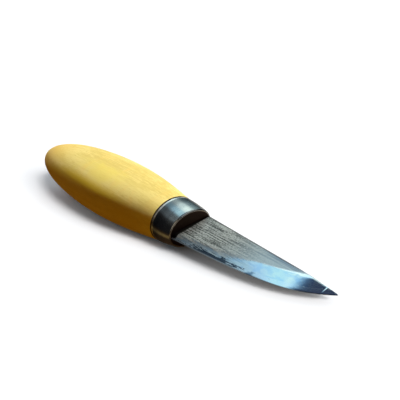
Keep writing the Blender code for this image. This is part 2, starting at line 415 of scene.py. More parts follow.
handleSizes = {
    "Front": -10.0,
    "Length": 91.5,
    "Width": 30.0,
    "Thickness": 20.85,
    "Belly": 39.0,
    "Belly Front Reach": 16.6,
    "Belly Rear Reach": 22.9,
    "Butt Fullness": 0.713,
    "Neck Width": 20.0,
    "Neck Thickness": 16.2,
    "Neck Rise": math.tan(math.radians(9.6)),
    "Neck Reach": 10.8,
    "Neck Lip": 0.16,
    "Neck Ease": 0.18,
    "Spigot Width": 18.0,
    "Spigot Thickness": 14.2,
    "Spigot Front Width": 17.0,
    "Spigot Front Thickness": 11.0,
    "Spigot Front": -1.2,
    "Hole Width": 10.6,
    "Hole Thickness": 4.6,
    "Hole End": -63.0,
    "Hand Finish": 0.05,
    "Finish Scale": 0.12,
    "Finish Detail": 1.0,
    "Seed": 4.0,
    "Steps": 56,
    "Around": 128,
}


def makeHandleTree():
    tree, given, result = startTree("barrelHandle", socketsFor(handleSizes))

    def half(label):
        return times(tree, given[label], 0.5)

    front = given["Front"]
    bellyX = less(tree, front, given["Belly"])
    buttX = less(tree, front, given["Length"])
    neckX = less(tree, front, given["Neck Reach"])
    rise = times(tree, given["Neck Reach"], given["Neck Rise"])
    full = given["Butt Fullness"]
    wide, thick = half("Width"), half("Thickness")
    neckWide, neckThick = half("Neck Width"), half("Neck Thickness")
    butt = addXyz(tree, buttX, 0.0, 0.0)
    buttHandle = addXyz(tree, buttX, times(tree, wide, full), times(tree, thick, full))
    rearHandle = addXyz(tree, less(tree, bellyX, given["Belly Rear Reach"]), wide, thick)
    belly = addXyz(tree, bellyX, wide, thick)
    frontHandle = addXyz(tree, plus(tree, bellyX, given["Belly Front Reach"]), wide, thick)
    neckHandle = addXyz(tree, neckX, plus(tree, neckWide, rise), plus(tree, neckThick, rise))
    ease = given["Neck Ease"]
    lipWide, lipThick = (plus(tree, neck, given["Neck Lip"]) for neck in (neckWide, neckThick))
    neck = addXyz(tree, less(tree, front, ease), lipWide, lipThick)
    neckFace = addXyz(tree, front, less(tree, lipWide, ease), less(tree, lipThick, ease))
    spigotX = given["Spigot Front"]
    spigotRear = addXyz(tree, front, half("Spigot Width"), half("Spigot Thickness"))
    spigotFront = addXyz(tree, spigotX, half("Spigot Front Width"), half("Spigot Front Thickness"))
    holeFront = addXyz(tree, spigotX, half("Hole Width"), half("Hole Thickness"))
    holeRear = addXyz(tree, given["Hole End"], half("Hole Width"), half("Hole Thickness"))
    holeBottom = addXyz(tree, given["Hole End"], 0.0, 0.0)
    profile = joinRow(tree, [
        addBend(tree, butt, buttHandle, rearHandle, belly, given["Steps"]),
        addBend(tree, belly, frontHandle, neckHandle, neck, given["Steps"]),
        addRun(tree, neckFace, spigotRear),
        addRun(tree, spigotRear, spigotFront),
        markSquare(tree, addRun(tree, holeFront, holeRear)),
        addRun(tree, holeBottom, holeBottom),
    ])

    # a little unevenness, as sanding by hand leaves it
    def handFinish(skin):
        values = {"W": given["Seed"], "Scale": given["Finish Scale"], "Detail": given["Finish Detail"]}
        lump = addNode(tree, "ShaderNodeTexNoise", values, noise_dimensions="4D").outputs[0]
        swell = times(tree, lump, given["Hand Finish"])
        normal = addNode(tree, "GeometryNodeInputNormal").outputs[0]  # the grid's skin faces inwards
        push = addVectorMath(tree, "MULTIPLY", normal, addXyz(tree, swell, swell, swell))
        return addStep(tree, "GeometryNodeSetPosition", skin, Offset=push)

    return closeTree(tree, profile, given, result, handFinish)


handle = growPiece("birchHandle", makeHandleTree(), handleSizes, makeBirch())
wear(handle, "handle")

# Steel collar
collarLook = {
    "steel": (0.46, 0.47, 0.47),
    "shade": (0.36, 0.37, 0.38),
    # painted highlight: lighter steel towards the front, where the highlight lies
    "front": (0.56, 0.56, 0.545),
    # painted shade: darker steel towards the rear, where the highlight fades
    "rear": (0.20, 0.205, 0.21),
    # painted shade: the front face is dark brown, standing in for its shade and the dark it mirrors
    "faceShade": (0.060, 0.036, 0.026),
    # painted highlight: a light brown line along the front rim
    "rimHighlight": (0.34, 0.27, 0.17),
    # painted highlight: a bright line along the rear lip
    "lipHighlight": (0.86, 0.88, 0.83),
    "lineNoise": ((7.0, 0.12, 0.12), 3.0, 0.6),
    "cloudNoise": ((0.35, 0.25, 0.25), 3.0, 0.55),
    "shadeRun": (0.35, 0.7),
    "frontHighlightRun": (-4.0, -2.2),
    "rearShadeRun": (-7.4, -4.2, 1.0, 0.0),
    "faceRun": (-0.05, -0.01),
    "rimBand": (-0.11, -0.065, -0.025, -0.004),
    "lipBand": (-9.78, -9.62, -8.95, -8.62),
    "patchRun": (0.40, 0.62, 0.38, 0.95),
    # the painted rim and lip highlights are less metallic
    "highlightMetal": 0.55,
    "roughness": 0.21,
    "polish": 0.16,
    "lineRoughness": 0.10,
    "faceRoughness": 0.5,
    "lineDepth": 0.002,
    "lineStrength": 0.4,
}


def makeCollarSteel():
    look = collarLook
    material, tree, shader, knife = startFinish("polishedCollarSteel", 1.0, look["roughness"])
    x = splitXyz(tree, knife)[0]
    lines = addNoise(tree, knife, *look["lineNoise"])
    cloud = addNoise(tree, knife, *look["cloudNoise"])
    face = addRamp(tree, x, *look["faceRun"])
    patchy = addRamp(tree, cloud, *look["patchRun"])
    # patchy masks of the painted highlights on the front rim and the rear lip
    rim, lip = (times(tree, addBand(tree, x, look[run]), patchy) for run in ("rimBand", "lipBand"))
    steel = mixColour(tree, addRamp(tree, cloud, *look["shadeRun"]), look["steel"], look["shade"])
    # painted highlight: lighter towards the front
    steel = mixColour(tree, addRamp(tree, x, *look["frontHighlightRun"]), steel, look["front"])
    # painted shade: darker towards the rear
    steel = mixColour(tree, addRamp(tree, x, *look["rearShadeRun"]), steel, look["rear"])
    # painted shade on the front face
    steel = mixColour(tree, face, steel, look["faceShade"])
    steel = mixColour(tree, rim, steel, look["rimHighlight"])
    steel = mixColour(tree, lip, steel, look["lipHighlight"])
    # where the painted rim and lip highlights lie
    worn = addMath(tree, "MAXIMUM", rim, lip)
    polish = plus(tree, times(tree, lines, look["lineRoughness"]), look["polish"])
    fill(tree, shader, {
        "Base Color": steel,
        "Metallic": fade(tree, worn, 1.0, look["highlightMetal"]),
        "Roughness": fade(tree, face, polish, look["faceRoughness"]),
    })
    addBump(tree, shader, lines, look["lineDepth"], look["lineStrength"])
    return material


collarSizes = {
    "Length": 9.8,
    "Rear Width": 20.1,
    "Rear Thickness": 16.3,
    "Face Width": 17.4,
    "Face Thickness": 11.6,
    "Shoulder": 0.8,
    "Lip": 0.35,
    "Crown Width": 0.40,
    "Crown Thickness": 0.05,
    "Wall": 0.8,
    "Slot Width": 9.4,
    "Slot Thickness": 3.1,
    "Lip Steps": 6,
    "Steps": 16,
    "Around": 160,
}
roundHandle = 0.5523  # handle length of a quarter circle
crownAt = (0.3, 0.7)  # where the crown's handles stand along the side


def makeCollarTree():
    tree, given, result = startTree("drawnCollar", socketsFor(collarSizes))

    def half(label, more=0.0):
        return plus(tree, times(tree, given[label], 0.5), more)

    def ringAt(x, part, more=0.0):
        return addXyz(tree, x, half(part + " Width", more), half(part + " Thickness", more))

    def between(a, b, share):
        return addNode(tree, "ShaderNodeMix", {0: share, 4: a, 5: b}, data_type="VECTOR").outputs[1]

    def roundOff(start, corner, end, steps):
        startHandle, endHandle = (between(ring, corner, roundHandle) for ring in (start, end))
        return addBend(tree, start, startHandle, endHandle, end, steps)

    def minus(value):
        return times(tree, value, -1.0)

    rearX = minus(given["Length"])
    wallX = minus(given["Wall"])
    lipX = plus(tree, rearX, given["Lip"])
    shoulderX = minus(given["Shoulder"])
    lipBack = ringAt(rearX, "Rear", minus(given["Lip"]))
    lipCorner = ringAt(rearX, "Rear")
    lipFront = ringAt(lipX, "Rear")
    shoulderRear = ringAt(shoulderX, "Face", given["Shoulder"])
    shoulderCorner = ringAt(0.0, "Face", given["Shoulder"])
    faceRim = ringAt(0.0, "Face")
    bulge = addXyz(tree, 0.0, given["Crown Width"], given["Crown Thickness"])
    onSide = (between(lipFront, shoulderRear, share) for share in crownAt)
    crowned = [addVectorMath(tree, "ADD", ring, bulge) for ring in onSide]
    slotFront = ringAt(0.0, "Slot")
    slotRear = ringAt(wallX, "Slot")
    insideFront = ringAt(wallX, "Face", plus(tree, given["Shoulder"], wallX))
    insideRear = ringAt(rearX, "Rear", wallX)
    profile = joinRow(tree, [
        addRun(tree, insideRear, lipBack),
        roundOff(lipBack, lipCorner, lipFront, given["Lip Steps"]),
        addBend(tree, lipFront, *crowned, shoulderRear, given["Steps"]),
        roundOff(shoulderRear, shoulderCorner, faceRim, given["Steps"]),
        markSquare(tree, addRun(tree, slotFront, slotRear)),
        addRun(tree, insideFront, insideRear),
    ])
    return closeTree(tree, profile, given, result)


collar = growPiece("steelCollar", makeCollarTree(), collarSizes, makeCollarSteel())
wear(collar, "collar")

# Laminated blade: a hard core between two softer sides
bladeSizes = {
    "length": 59.98,
    "halfThickness": 1.35,
    "halfCore": 0.4,
    "halfLand": 0.04,
    "heelX": 0.2,
    "heelToSpine": 8.65,
    "heelToEdge": 8.8,
    "tipHeight": 5.3,
    "tipWidth": 0.4,
    "edgeRise": 5.0,
    "edgeRun": 31.7,
    "sweepAngle": 40.8,
    "sweepRun": 12.6,
    "bevelAtHeel": 1.8,
    "bevelAtTip": 9.0,
    "easeAtHeel": 0.4,
    "easeAtTip": 1.2,
    "easeFrom": 39.0,
    "easeTo": 50.0,
    "stripWidth": 1.6,
    "stripAngle": 1.5,
    "stripBand": (37.5, 44.0, 46.0, 51.0),
    "stripTilt": (46.0, 50.0),
    "mostShare": 0.25,  # of the blade's height, for strip and ease
    "belly": 0.14,
    "bellyRun": (30.0, 46.0),
    "tipGrindX": 55.9,
    "tipGrindRun": 0.35,
    "tipGrindRise": 0.06,
    "spineBreak": 0.2,
    "breakRound": 0.3,
    "honedWidth": 0.28,
    "honedShare": 0.6,  # of the core that shows, at most
    "weldGap": 0.02,
    "weldStep": 0.02,
    "stepShare": 0.1,
    "wander": 0.07,
    "tangLength": 62.0,
    "tangWidth": 9.0,
    "tangEndWidth": 5.0,
    "stations": 220,
    "grindStations": 6,
    "bevelRows": 8,
    "easeRows": 10,
    "flatRows": 6,
    "halvings": 40,
    "endWithin": 0.01,
    "mergeWithin": 1e-4,
    "cutWithin": 1e-5,
    "creaseAngle": math.radians(30),
}
# rate, shift and size of the waves in the weld's border
wanderWaves = ((0.55, 0.3, 1.0), (1.35, 1.9, 0.8), (2.9, 4.1, 0.55), (5.3, 0.7, 0.35))


def bezier(points, t):
    a, b, c, d = (Vector(p) for p in points)
    s = 1.0 - t
    return a * s**3 + b * (3 * t * s * s) + c * (3 * t * t * s) + d * t**3


def edgeAt(t):
    b = bladeSizes
    heel = Vector((b["heelX"], -b["heelToEdge"]))
    tip = Vector((b["length"], b["tipHeight"] - b["tipWidth"]))
    climb = Vector((1.0, math.tan(math.radians(b["edgeRise"])))) * b["edgeRun"]
    sweep = Vector((1.0, math.tan(math.radians(b["sweepAngle"])))) * b["sweepRun"]
    return bezier((heel, heel + climb, tip - sweep, tip), t)


def spineAt(x):
    b = bladeSizes
    return b["heelToSpine"] + (b["tipHeight"] - b["heelToSpine"]) * x / b["length"]


def bevelHeight(x):
    b = bladeSizes
    return b["bevelAtHeel"] + (b["bevelAtTip"] - b["bevelAtHeel"]) * x / b["length"]


def bevelSlope(x):
    return (bladeSizes["halfThickness"] - bladeSizes["halfLand"]) / bevelHeight(x)


# height of the weld where it comes out on the bevel; forging leaves it uneven
def weldAt(x, side):
    wave = sum(size * math.sin(rate * x + shift + side) for rate, shift, size in wanderWaves)
    return bladeSizes["halfCore"] + bladeSizes["wander"] * wave / len(wanderWaves)


def rampUp(x, low, high):
    share = min(max((x - low) / (high - low), 0.0), 1.0)
    return share * share * (3 - 2 * share)


# the line where the bevel ends; where it reaches the spine, a narrow strip is left along the spine
def shoulderAt(edge):
    b = bladeSizes
    spine = spineAt(edge.x)
    first, full, last, end = b["stripBand"]
    strip = min(b["stripWidth"], b["mostShare"] * (spine - edge.y))
    strip = strip * rampUp(edge.x, first, full) * (1 - rampUp(edge.x, last, end))
    return min(edge.y + bevelHeight(edge.x), spine - strip)


# half width of the rounding between bevel and flat
def easeAt(edge):
    b = bladeSizes
    share = rampUp(edge.x, b["easeFrom"], b["easeTo"])
    ease = b["easeAtHeel"] + (b["easeAtTip"] - b["easeAtHeel"]) * share
    return min(ease, b["mostShare"] * (spineAt(edge.x) - edge.y))


# half thickness at height y: bellied bevel, eased shoulder, flat or strip, and the extra grind at the tip
def halfThick(edge, y):
    b = bladeSizes
    shoulder, slope, ease = shoulderAt(edge), bevelSlope(edge.x), easeAt(edge)
    flatSlope = math.tan(math.radians(b["stripAngle"])) * rampUp(edge.x, *b["stripTilt"])
    belly = b["belly"] * rampUp(edge.x, *b["bellyRun"])
    height = max(shoulder - edge.y, 1e-6)  # never zero
    along = min(y, shoulder - ease) - edge.y
    share = along / height
    z = b["halfLand"] + slope * (along + belly * along * (1 - share))
    steep = slope * (1 + belly * (1 - 2 * share))
    past = y - shoulder
    if past > ease:
        z += (steep + flatSlope) * ease + flatSlope * (past - ease)
    elif past > -ease:
        z += steep * (past + ease) - (steep - flatSlope) * (past + ease) ** 2 / (4 * ease)
    ground = rampUp(edge.x, b["tipGrindX"], b["tipGrindX"] + b["tipGrindRun"])
    return min(z, b["halfThickness"]) * (1 + b["tipGrindRise"] * ground)


def borderAt(edge, side):
    weld = weldAt(edge.x, side) - bladeSizes["halfLand"]
    return min(edge.y + weld / bevelSlope(edge.x), spineAt(edge.x))


# the share of the edge's run up to which a test holds
def runWhile(holds):
    low, high = 0.0, 1.0
    for _ in range(bladeSizes["halvings"]):
        middle = (low + high) / 2
        low, high = (middle, high) if holds(edgeAt(middle)) else (low, middle)
    return low


# where the side's steel ends
def runOut(side):
    return runWhile(lambda edge: borderAt(edge, side) <= spineAt(edge.x) - bladeSizes["endWithin"])


def spread(low, high, count):
    return [low + (high - low) * i / count for i in range(count + 1)]


# even stations, closer together at the tip's extra grind
def stationsTo(last):
    b = bladeSizes
    close = spread(b["tipGrindX"], b["tipGrindX"] + b["tipGrindRun"], b["grindStations"])
    runs = [runWhile(lambda edge: edge.x < x) for x in close]
    return sorted(spread(0.0, last, b["stations"]) + [t for t in runs if t < last])


def outsideRows(edge, low, high):
    b = bladeSizes
    shoulder, ease = shoulderAt(edge), easeAt(edge)
    ys = spread(low, shoulder - ease, b["bevelRows"])[:-1]
    ys += spread(shoulder - ease, shoulder + ease, b["easeRows"])
    ys += spread(shoulder + ease, high, b["flatRows"])[1:]
    ys = [min(max(y, low), high) for y in ys]
    return [(y, halfThick(edge, y)) for y in ys]


def sideSection(t, side):
    b = bladeSizes
    edge = edgeAt(t)
    spine, border = spineAt(edge.x), borderAt(edge, side)
    top = halfThick(edge, spine)
    inner = min(b["halfCore"] + b["weldGap"], top)
    # the break along the spine is limited where the steel runs out
    broken = min(b["spineBreak"], max(spine - border, 0.0) / 3, max(top - inner, 0.0) / 2)
    eased = b["breakRound"] * broken
    rows = outsideRows(edge, border, spine - broken)
    rows += [(spine - eased, top - eased), (spine, top - broken), (spine, inner)]
    return edge, rows, border


def coreSection(t):
    b = bladeSizes
    edge = edgeAt(t)
    spine = spineAt(edge.x)
    ring = [(edge.y, 0.0)]
    for side in (1, -1):
        border = borderAt(edge, side)
        honed = min(b["honedWidth"], (border - edge.y) * b["honedShare"])
        step = min(b["weldStep"], (border - edge.y) * b["stepShare"])
        rows = outsideRows(edge, edge.y + honed, border - step)
        rows += [(border, halfThick(edge, border))]
        rows += [(spine, min(b["halfCore"], halfThick(edge, spine)))]
        rows = [(y, side * z) for y, z in rows]
        ring += rows if side > 0 else rows[::-1]
    return edge, ring


# The finishes read where a point lies: on the bevel, above the edge, over the core and under the spine.
def skinBlade(name, sections, material):
    b = bladeSizes
    bm = bmesh.new()
    layers = bm.verts.layers.float
    share, above, over, under = (
        layers.new(label) for label in ("bevelShare", "aboveEdge", "overCore", "underSpine"))
    loops = []
    for edge, rows, border in sections:
        loop = []
        for y, z in rows:
            v = bm.verts.new((edge.x, y, z))
            v[share] = (y - edge.y) / bevelHeight(edge.x)
            v[above] = y - edge.y
            v[over] = y - border
            v[under] = spineAt(edge.x) - y
            loop.append(v)
        loops.append(loop)
    for back, front in zip(loops, loops[1:]):
        for i in range(len(back)):
            j = (i + 1) % len(back)
            bm.faces.new((back[i], back[j], front[j], front[i]))
    heel = bm.faces.new(loops[0])
    bm.faces.new(loops[-1])
    drawTang(bm, heel)
    bmesh.ops.remove_doubles(bm, verts=bm.verts, dist=b["mergeWithin"])
    bmesh.ops.dissolve_degenerate(bm, edges=bm.edges, dist=b["mergeWithin"])
    bmesh.ops.recalc_face_normals(bm, faces=bm.faces)
    mesh = meshFrom(bm, name, material)
    mesh.transform(fromKnife)
    mesh.shade_smooth()
    mesh.set_sharp_from_angle(angle=b["creaseAngle"])
    print(name + ":", len(mesh.polygons), "faces")
    return addObject(name, mesh)


# draws the tang out of the middle of the heel
def drawTang(bm, heel):
    b = bladeSizes
    faces = [heel]
    for side in (-1, 1):
        edges = {e for f in faces for e in f.edges}
        verts = {v for f in faces for v in f.verts}
        cut = bmesh.ops.bisect_plane(bm, geom=[*faces, *edges, *verts], dist=b["cutWithin"],
                                     plane_co=(0, side * b["tangWidth"] / 2, 0), plane_no=(0, 1, 0))
        faces = [g for g in cut["geom"] if isinstance(g, bmesh.types.BMFace)]
    root = min(faces, key=lambda f: abs(f.calc_center_median().y))
    drawn = bmesh.ops.extrude_discrete_faces(bm, faces=[root])["faces"][0]
    for v in drawn.verts:
        v.co.x = -b["tangLength"]
        v.co.y *= b["tangEndWidth"] / b["tangWidth"]


sideLook = {
    "flat": (0.060, 0.065, 0.060),
    "flatLight": (0.46, 0.475, 0.445),
    "flatTip": (0.34, 0.46, 0.53),
    "flatDusk": (0.13, 0.19, 0.27),
    "bevel": (0.62, 0.66, 0.67),
    "bevelBlue": (0.50, 0.59, 0.68),
    "streak": (0.24, 0.30, 0.35),
    "slag": (0.030, 0.040, 0.058),
    # painted shade: contact shadow in the corner at the collar and a dark line along the spine
    "pitch": (0.006, 0.005, 0.004),
    "grindNoise": ((0.08, 1.3, 1.3), 3.0, 0.6),
    "hairNoise": ((0.10, 2.0, 2.0), 1.0),
    "speckNoise": ((2.0, 1.6, 1.6), 1.0),
    "waveNoise": ((0.22, 0.30, 0.30), 2.0, 0.5),
    "tintNoise": ((0.28, 0.45, 0.45), 2.0, 0.5, 0.6),
    "raggedNoise": ((0.32, 2.0, 2.0), 3.0, 0.7),
    "tipRun": (18.0, 38.0),
    "borderParts": (0.5, 0.5),  # of grind and hair, in the border between bevel and flat
    "borderSwing": (1.5, 0.08),  # at the heel and at the tip
    "flatFrom": (0.30, 0.94),
    "flatTo": 1.10,
    "wornParts": (0.06, 0.50, 0.44),  # of grind, hair and speck
    "wornSpread": (10.0, 30.0, 0.11, 0.18),
    "flatTipRun": (14.0, 40.0, 0.0, 0.75),
    "fineParts": (0.4, 0.6),
    "duskSwing": 9.0,
    "duskRun": (0.3, 3.2, 1.0, 0.0),
    "duskAlong": (26.0, 40.0, 0.0, 0.8),
    "tintRun": (0.38, 0.62),
    "streakRun": (0.43, 0.56, 1.0, 0.0),
    "streakAlong": (22.0, 36.0, 0.5, 0.0),
    "tongueFrom": 0.46,
    "tongueAlong": (16.0, 28.0, 7.0, 2.0),
    "slagRun": (-0.1, 0.12, 1.0, 0.0),
    "slagBand": (2.0, 13.0, 25.0, 34.0),
    "pitchAcross": (8.65, -8.8, 0.35, 1.5),
    "pitchSwing": 0.5,
    "pitchRun": (0.0, 0.4, 1.0, 0.0),
    "spineRun": (0.42, 0.57, 0.9, 0.0),
    "spineAlong": (42.0, 48.0, 1.0, 0.0),
    "flatMetal": 0.5,
    "flatRoughness": 0.42,
    "flatPolish": 0.34,
    "speckRoughness": 0.16,
    "bevelRoughness": (0.28, 0.07),
    "bevelLines": (0.5, 0.03),
    "grindDepth": 0.006,
    "waveDepth": 0.02,
    "bumpStrength": 0.7,
}


def makeSideSteel():
    look = sideLook
    material, tree, shader, knife = startFinish("groundSideSteel", 1.0, look["flatRoughness"])
    x, y = splitXyz(tree, knife)[:2]
    noises = ("grindNoise", "hairNoise", "speckNoise", "waveNoise", "tintNoise", "raggedNoise")
    grind, hair, speck, wave, tint, ragged = (addNoise(tree, knife, *look[noise]) for noise in noises)
    toTip = addRamp(tree, x, *look["tipRun"])
    under = readAttribute(tree, "underSpine")

    def ramp(value, run):
        return addRamp(tree, value, *look[run])

    def mixed(parts):
        return blend(tree, zip((grind, hair, speck), look[parts]))

    border = swing(tree, mixed("borderParts"), fade(tree, toTip, *look["borderSwing"]))
    share = plus(tree, readAttribute(tree, "bevelShare"), border)
    onFlat = addRamp(tree, share, fade(tree, toTip, *look["flatFrom"]), look["flatTo"])
    fine = mixed("fineParts")

    # the flat: worn grinding lines, bluer towards the tip and dusky under the spine
    around = ramp(x, "wornSpread")
    worn = addRamp(tree, mixed("wornParts"), less(tree, 0.5, around), plus(tree, 0.5, around))
    flat = mixColour(tree, worn, look["flat"], look["flatLight"])
    flat = mixColour(tree, ramp(x, "flatTipRun"), flat, look["flatTip"])
    dusk = plus(tree, under, swing(tree, fine, look["duskSwing"]))
    dusk = times(tree, ramp(dusk, "duskRun"), ramp(x, "duskAlong"))
    flat = mixColour(tree, dusk, flat, look["flatDusk"])

    # the bevel: cloudy polish with streaks near the heel
    bevel = mixColour(tree, ramp(tint, "tintRun"), look["bevelBlue"], look["bevel"])
    streak = times(tree, ramp(fine, "streakRun"), ramp(x, "streakAlong"))
    steel = mixColour(tree, onFlat, mixColour(tree, streak, bevel, look["streak"]), flat)

    # slag in the weld; painted shade: a contact shadow in the corner at the collar and a dark line along the
    # spine
    tongue = times(tree, less(tree, ragged, look["tongueFrom"]), ramp(x, "tongueAlong"))
    slag = ramp(less(tree, readAttribute(tree, "overCore"), tongue), "slagRun")
    slag = times(tree, slag, addBand(tree, x, look["slagBand"]))
    steel = mixColour(tree, slag, steel, look["slag"])
    corner = plus(tree, ramp(y, "pitchAcross"), swing(tree, speck, look["pitchSwing"]))
    spineLine = times(tree, ramp(under, "spineRun"), ramp(x, "spineAlong"))
    pitch = addMath(tree, "MAXIMUM", ramp(less(tree, x, corner), "pitchRun"), spineLine)
    steel = mixColour(tree, pitch, steel, look["pitch"])

    polish = fade(tree, toTip, *look["bevelRoughness"])
    flatRough = plus(tree, look["flatPolish"], times(tree, speck, look["speckRoughness"]))
    fill(tree, shader, {
        "Base Color": steel,
        "Metallic": fade(tree, onFlat, 1.0, look["flatMetal"]),
        "Roughness": fade(tree, onFlat, polish, flatRough),
    })
    lines = fade(tree, onFlat, fade(tree, toTip, *look["bevelLines"]), 1.0)
    height = times(tree, times(tree, grind, lines), look["grindDepth"])
    height = plus(tree, height, times(tree, wave, look["waveDepth"]))
    addBump(tree, shader, height, 1.0, look["bumpStrength"])
    return material


coreLook = {
    "steel": (0.62, 0.66, 0.70),
    "stain": (0.060, 0.078, 0.105),
    "spot": (0.10, 0.16, 0.24),
    "honeNoise": ((0.5, 6.0, 6.0), 3.0, 0.6),
    "stainNoise": ((0.55, 1.6, 1.6), 4.0, 0.75),
    "stainRise": (5.0, 17.0, 0.0, 0.22),
    "stainFall": (22.0, 38.0, 0.0, -0.34),
    "stainRun": (0.50, 0.60),
    "honedRun": (0.12, 0.34),
    "spotX": 34.6,
    "spotSwing": 5.0,
    "spotRun": (0.7, 2.4, 0.85, 0.0),
    "roughness": 0.06,
    "polishRun": (20.0, 44.0, 0.26, 0.06),
    "honeRoughness": 0.04,
    "lineDepth": 0.003,
    "lineStrength": 0.3,
}


def makeCoreSteel():
    look = coreLook
    material, tree, shader, knife = startFinish("honedCoreSteel", 1.0, look["roughness"])
    x = splitXyz(tree, knife)[0]
    hone = addNoise(tree, knife, *look["honeNoise"])
    stain = addNoise(tree, knife, *look["stainNoise"])
    above = readAttribute(tree, "aboveEdge")
    reach = plus(tree, addRamp(tree, x, *look["stainRise"]), addRamp(tree, x, *look["stainFall"]))
    marked = addRamp(tree, plus(tree, stain, reach), *look["stainRun"])
    marked = times(tree, marked, addRamp(tree, above, *look["honedRun"]))
    steel = mixColour(tree, marked, look["steel"], look["stain"])
    fromSpot = addMath(tree, "ABSOLUTE", less(tree, x, look["spotX"]))
    fromSpot = plus(tree, fromSpot, swing(tree, stain, look["spotSwing"]))
    fromSpot = plus(tree, fromSpot, above)
    steel = mixColour(tree, addRamp(tree, fromSpot, *look["spotRun"]), steel, look["spot"])
    polish = addRamp(tree, x, *look["polishRun"])
    rough = plus(tree, polish, times(tree, hone, look["honeRoughness"]))
    fill(tree, shader, {"Base Color": steel, "Roughness": rough})
    addBump(tree, shader, hone, look["lineDepth"], look["lineStrength"])
    return material


def makeBlade():
    sideSteel, coreSteel = makeSideSteel(), makeCoreSteel()
    sections = []
    for t in stationsTo(1.0):
        edge, ring = coreSection(t)
        sections.append((edge, ring, edge.y))
    wear(skinBlade("bladeCore", sections, coreSteel), "blade_core")
    for name, node, side in (("Upper", "upper", 1), ("Lower", "lower", -1)):
        sections = []
        for t in stationsTo(runOut(side)):
            edge, rows, border = sideSection(t, side)
            sections.append((edge, [(y, side * z) for y, z in rows], border))
        piece = skinBlade("bladeSide" + name, sections, sideSteel)
        wear(piece, "blade_cladding_" + node)


makeBlade()

# Set bedding round the tang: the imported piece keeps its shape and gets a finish
beddingLook = {
    "dark": (0.06, 0.035, 0.018),
    "light": (0.14, 0.085, 0.045),
    "grainNoise": ((1.2, 1.2, 1.2), 4.0, 0.65),
    "roughness": 0.7,
    "satinRun": (0.3, 0.7, 0.55, 0.8),
    "grainDepth": 0.05,
    "grainStrength": 0.5,
}


def makeBedding():
    look = beddingLook
    material, tree, shader, knife = startFinish("setBedding", 0.0, look["roughness"])
    grain = addNoise(tree, knife, *look["grainNoise"])
    colour = mixColour(tree, grain, look["dark"], look["light"])
    fill(tree, shader, {"Base Color": colour, "Roughness": addRamp(tree, grain, *look["satinRun"])})
    addBump(tree, shader, grain, look["grainDepth"], look["grainStrength"])
    return material


bedding = frame["nodes"]["tang_bedding"]
bedding.data.materials.clear()
bedding.data.materials.append(makeBedding())
print("materials: birch, collar, sides, core and bedding set")

# Stage: pale floor, a tent that the metal mirrors, lamps and the photo's camera
floorLook = {
    "halfWidth": 4.0,
    "seen": (0.935, 0.95, 0.964),
    "bounce": (0.16, 0.07, 0.003),
    "glowRun": (0.006, 0.052, 0.0, 0.09),  # lifts the shadow under the blade
    "cool": (0.0, 0.014, 0.021),  # keeps the shadow beside the wood grey
    "coolBand": (-0.075, -0.040, 0.0, 0.022),
    "roughness": 0.9,
}


# what the camera and mirrors see, against what only lights the scene
def seenShare(tree):
    path = addNode(tree, "ShaderNodeLightPath").outputs
    seen = addMath(tree, "MAXIMUM", path["Is Camera Ray"], path["Is Glossy Ray"])
    return addMath(tree, "MAXIMUM", seen, path["Is Transmission Ray"])


def makeFloor():
    look = floorLook
    material, tree = startMaterial("paleFloor")
    shader = tree.nodes["Principled BSDF"]
    seen = seenShare(tree)
    x = splitXyz(tree, addNode(tree, "ShaderNodeTexCoord").outputs["Object"])[0]
    glow = addRamp(tree, x, *look["glowRun"])
    pale = mixColour(tree, glow, look["seen"], (0.0, 0.0, 0.0))
    cool = addBand(tree, x, look["coolBand"])
    fill(tree, shader, {
        "Base Color": mixColour(tree, seen, look["bounce"], pale),
        "Roughness": look["roughness"],
        "Specular IOR Level": 0.0,
        "Emission Color": mixColour(tree, cool, addXyz(tree, glow, glow, glow), look["cool"]),
        "Emission Strength": seen,
    })
    bm = bmesh.new()
    bmesh.ops.create_grid(bm, x_segments=1, y_segments=1, size=look["halfWidth"])
    floor = addObject("floor", meshFrom(bm, "floor", material))
    return floor


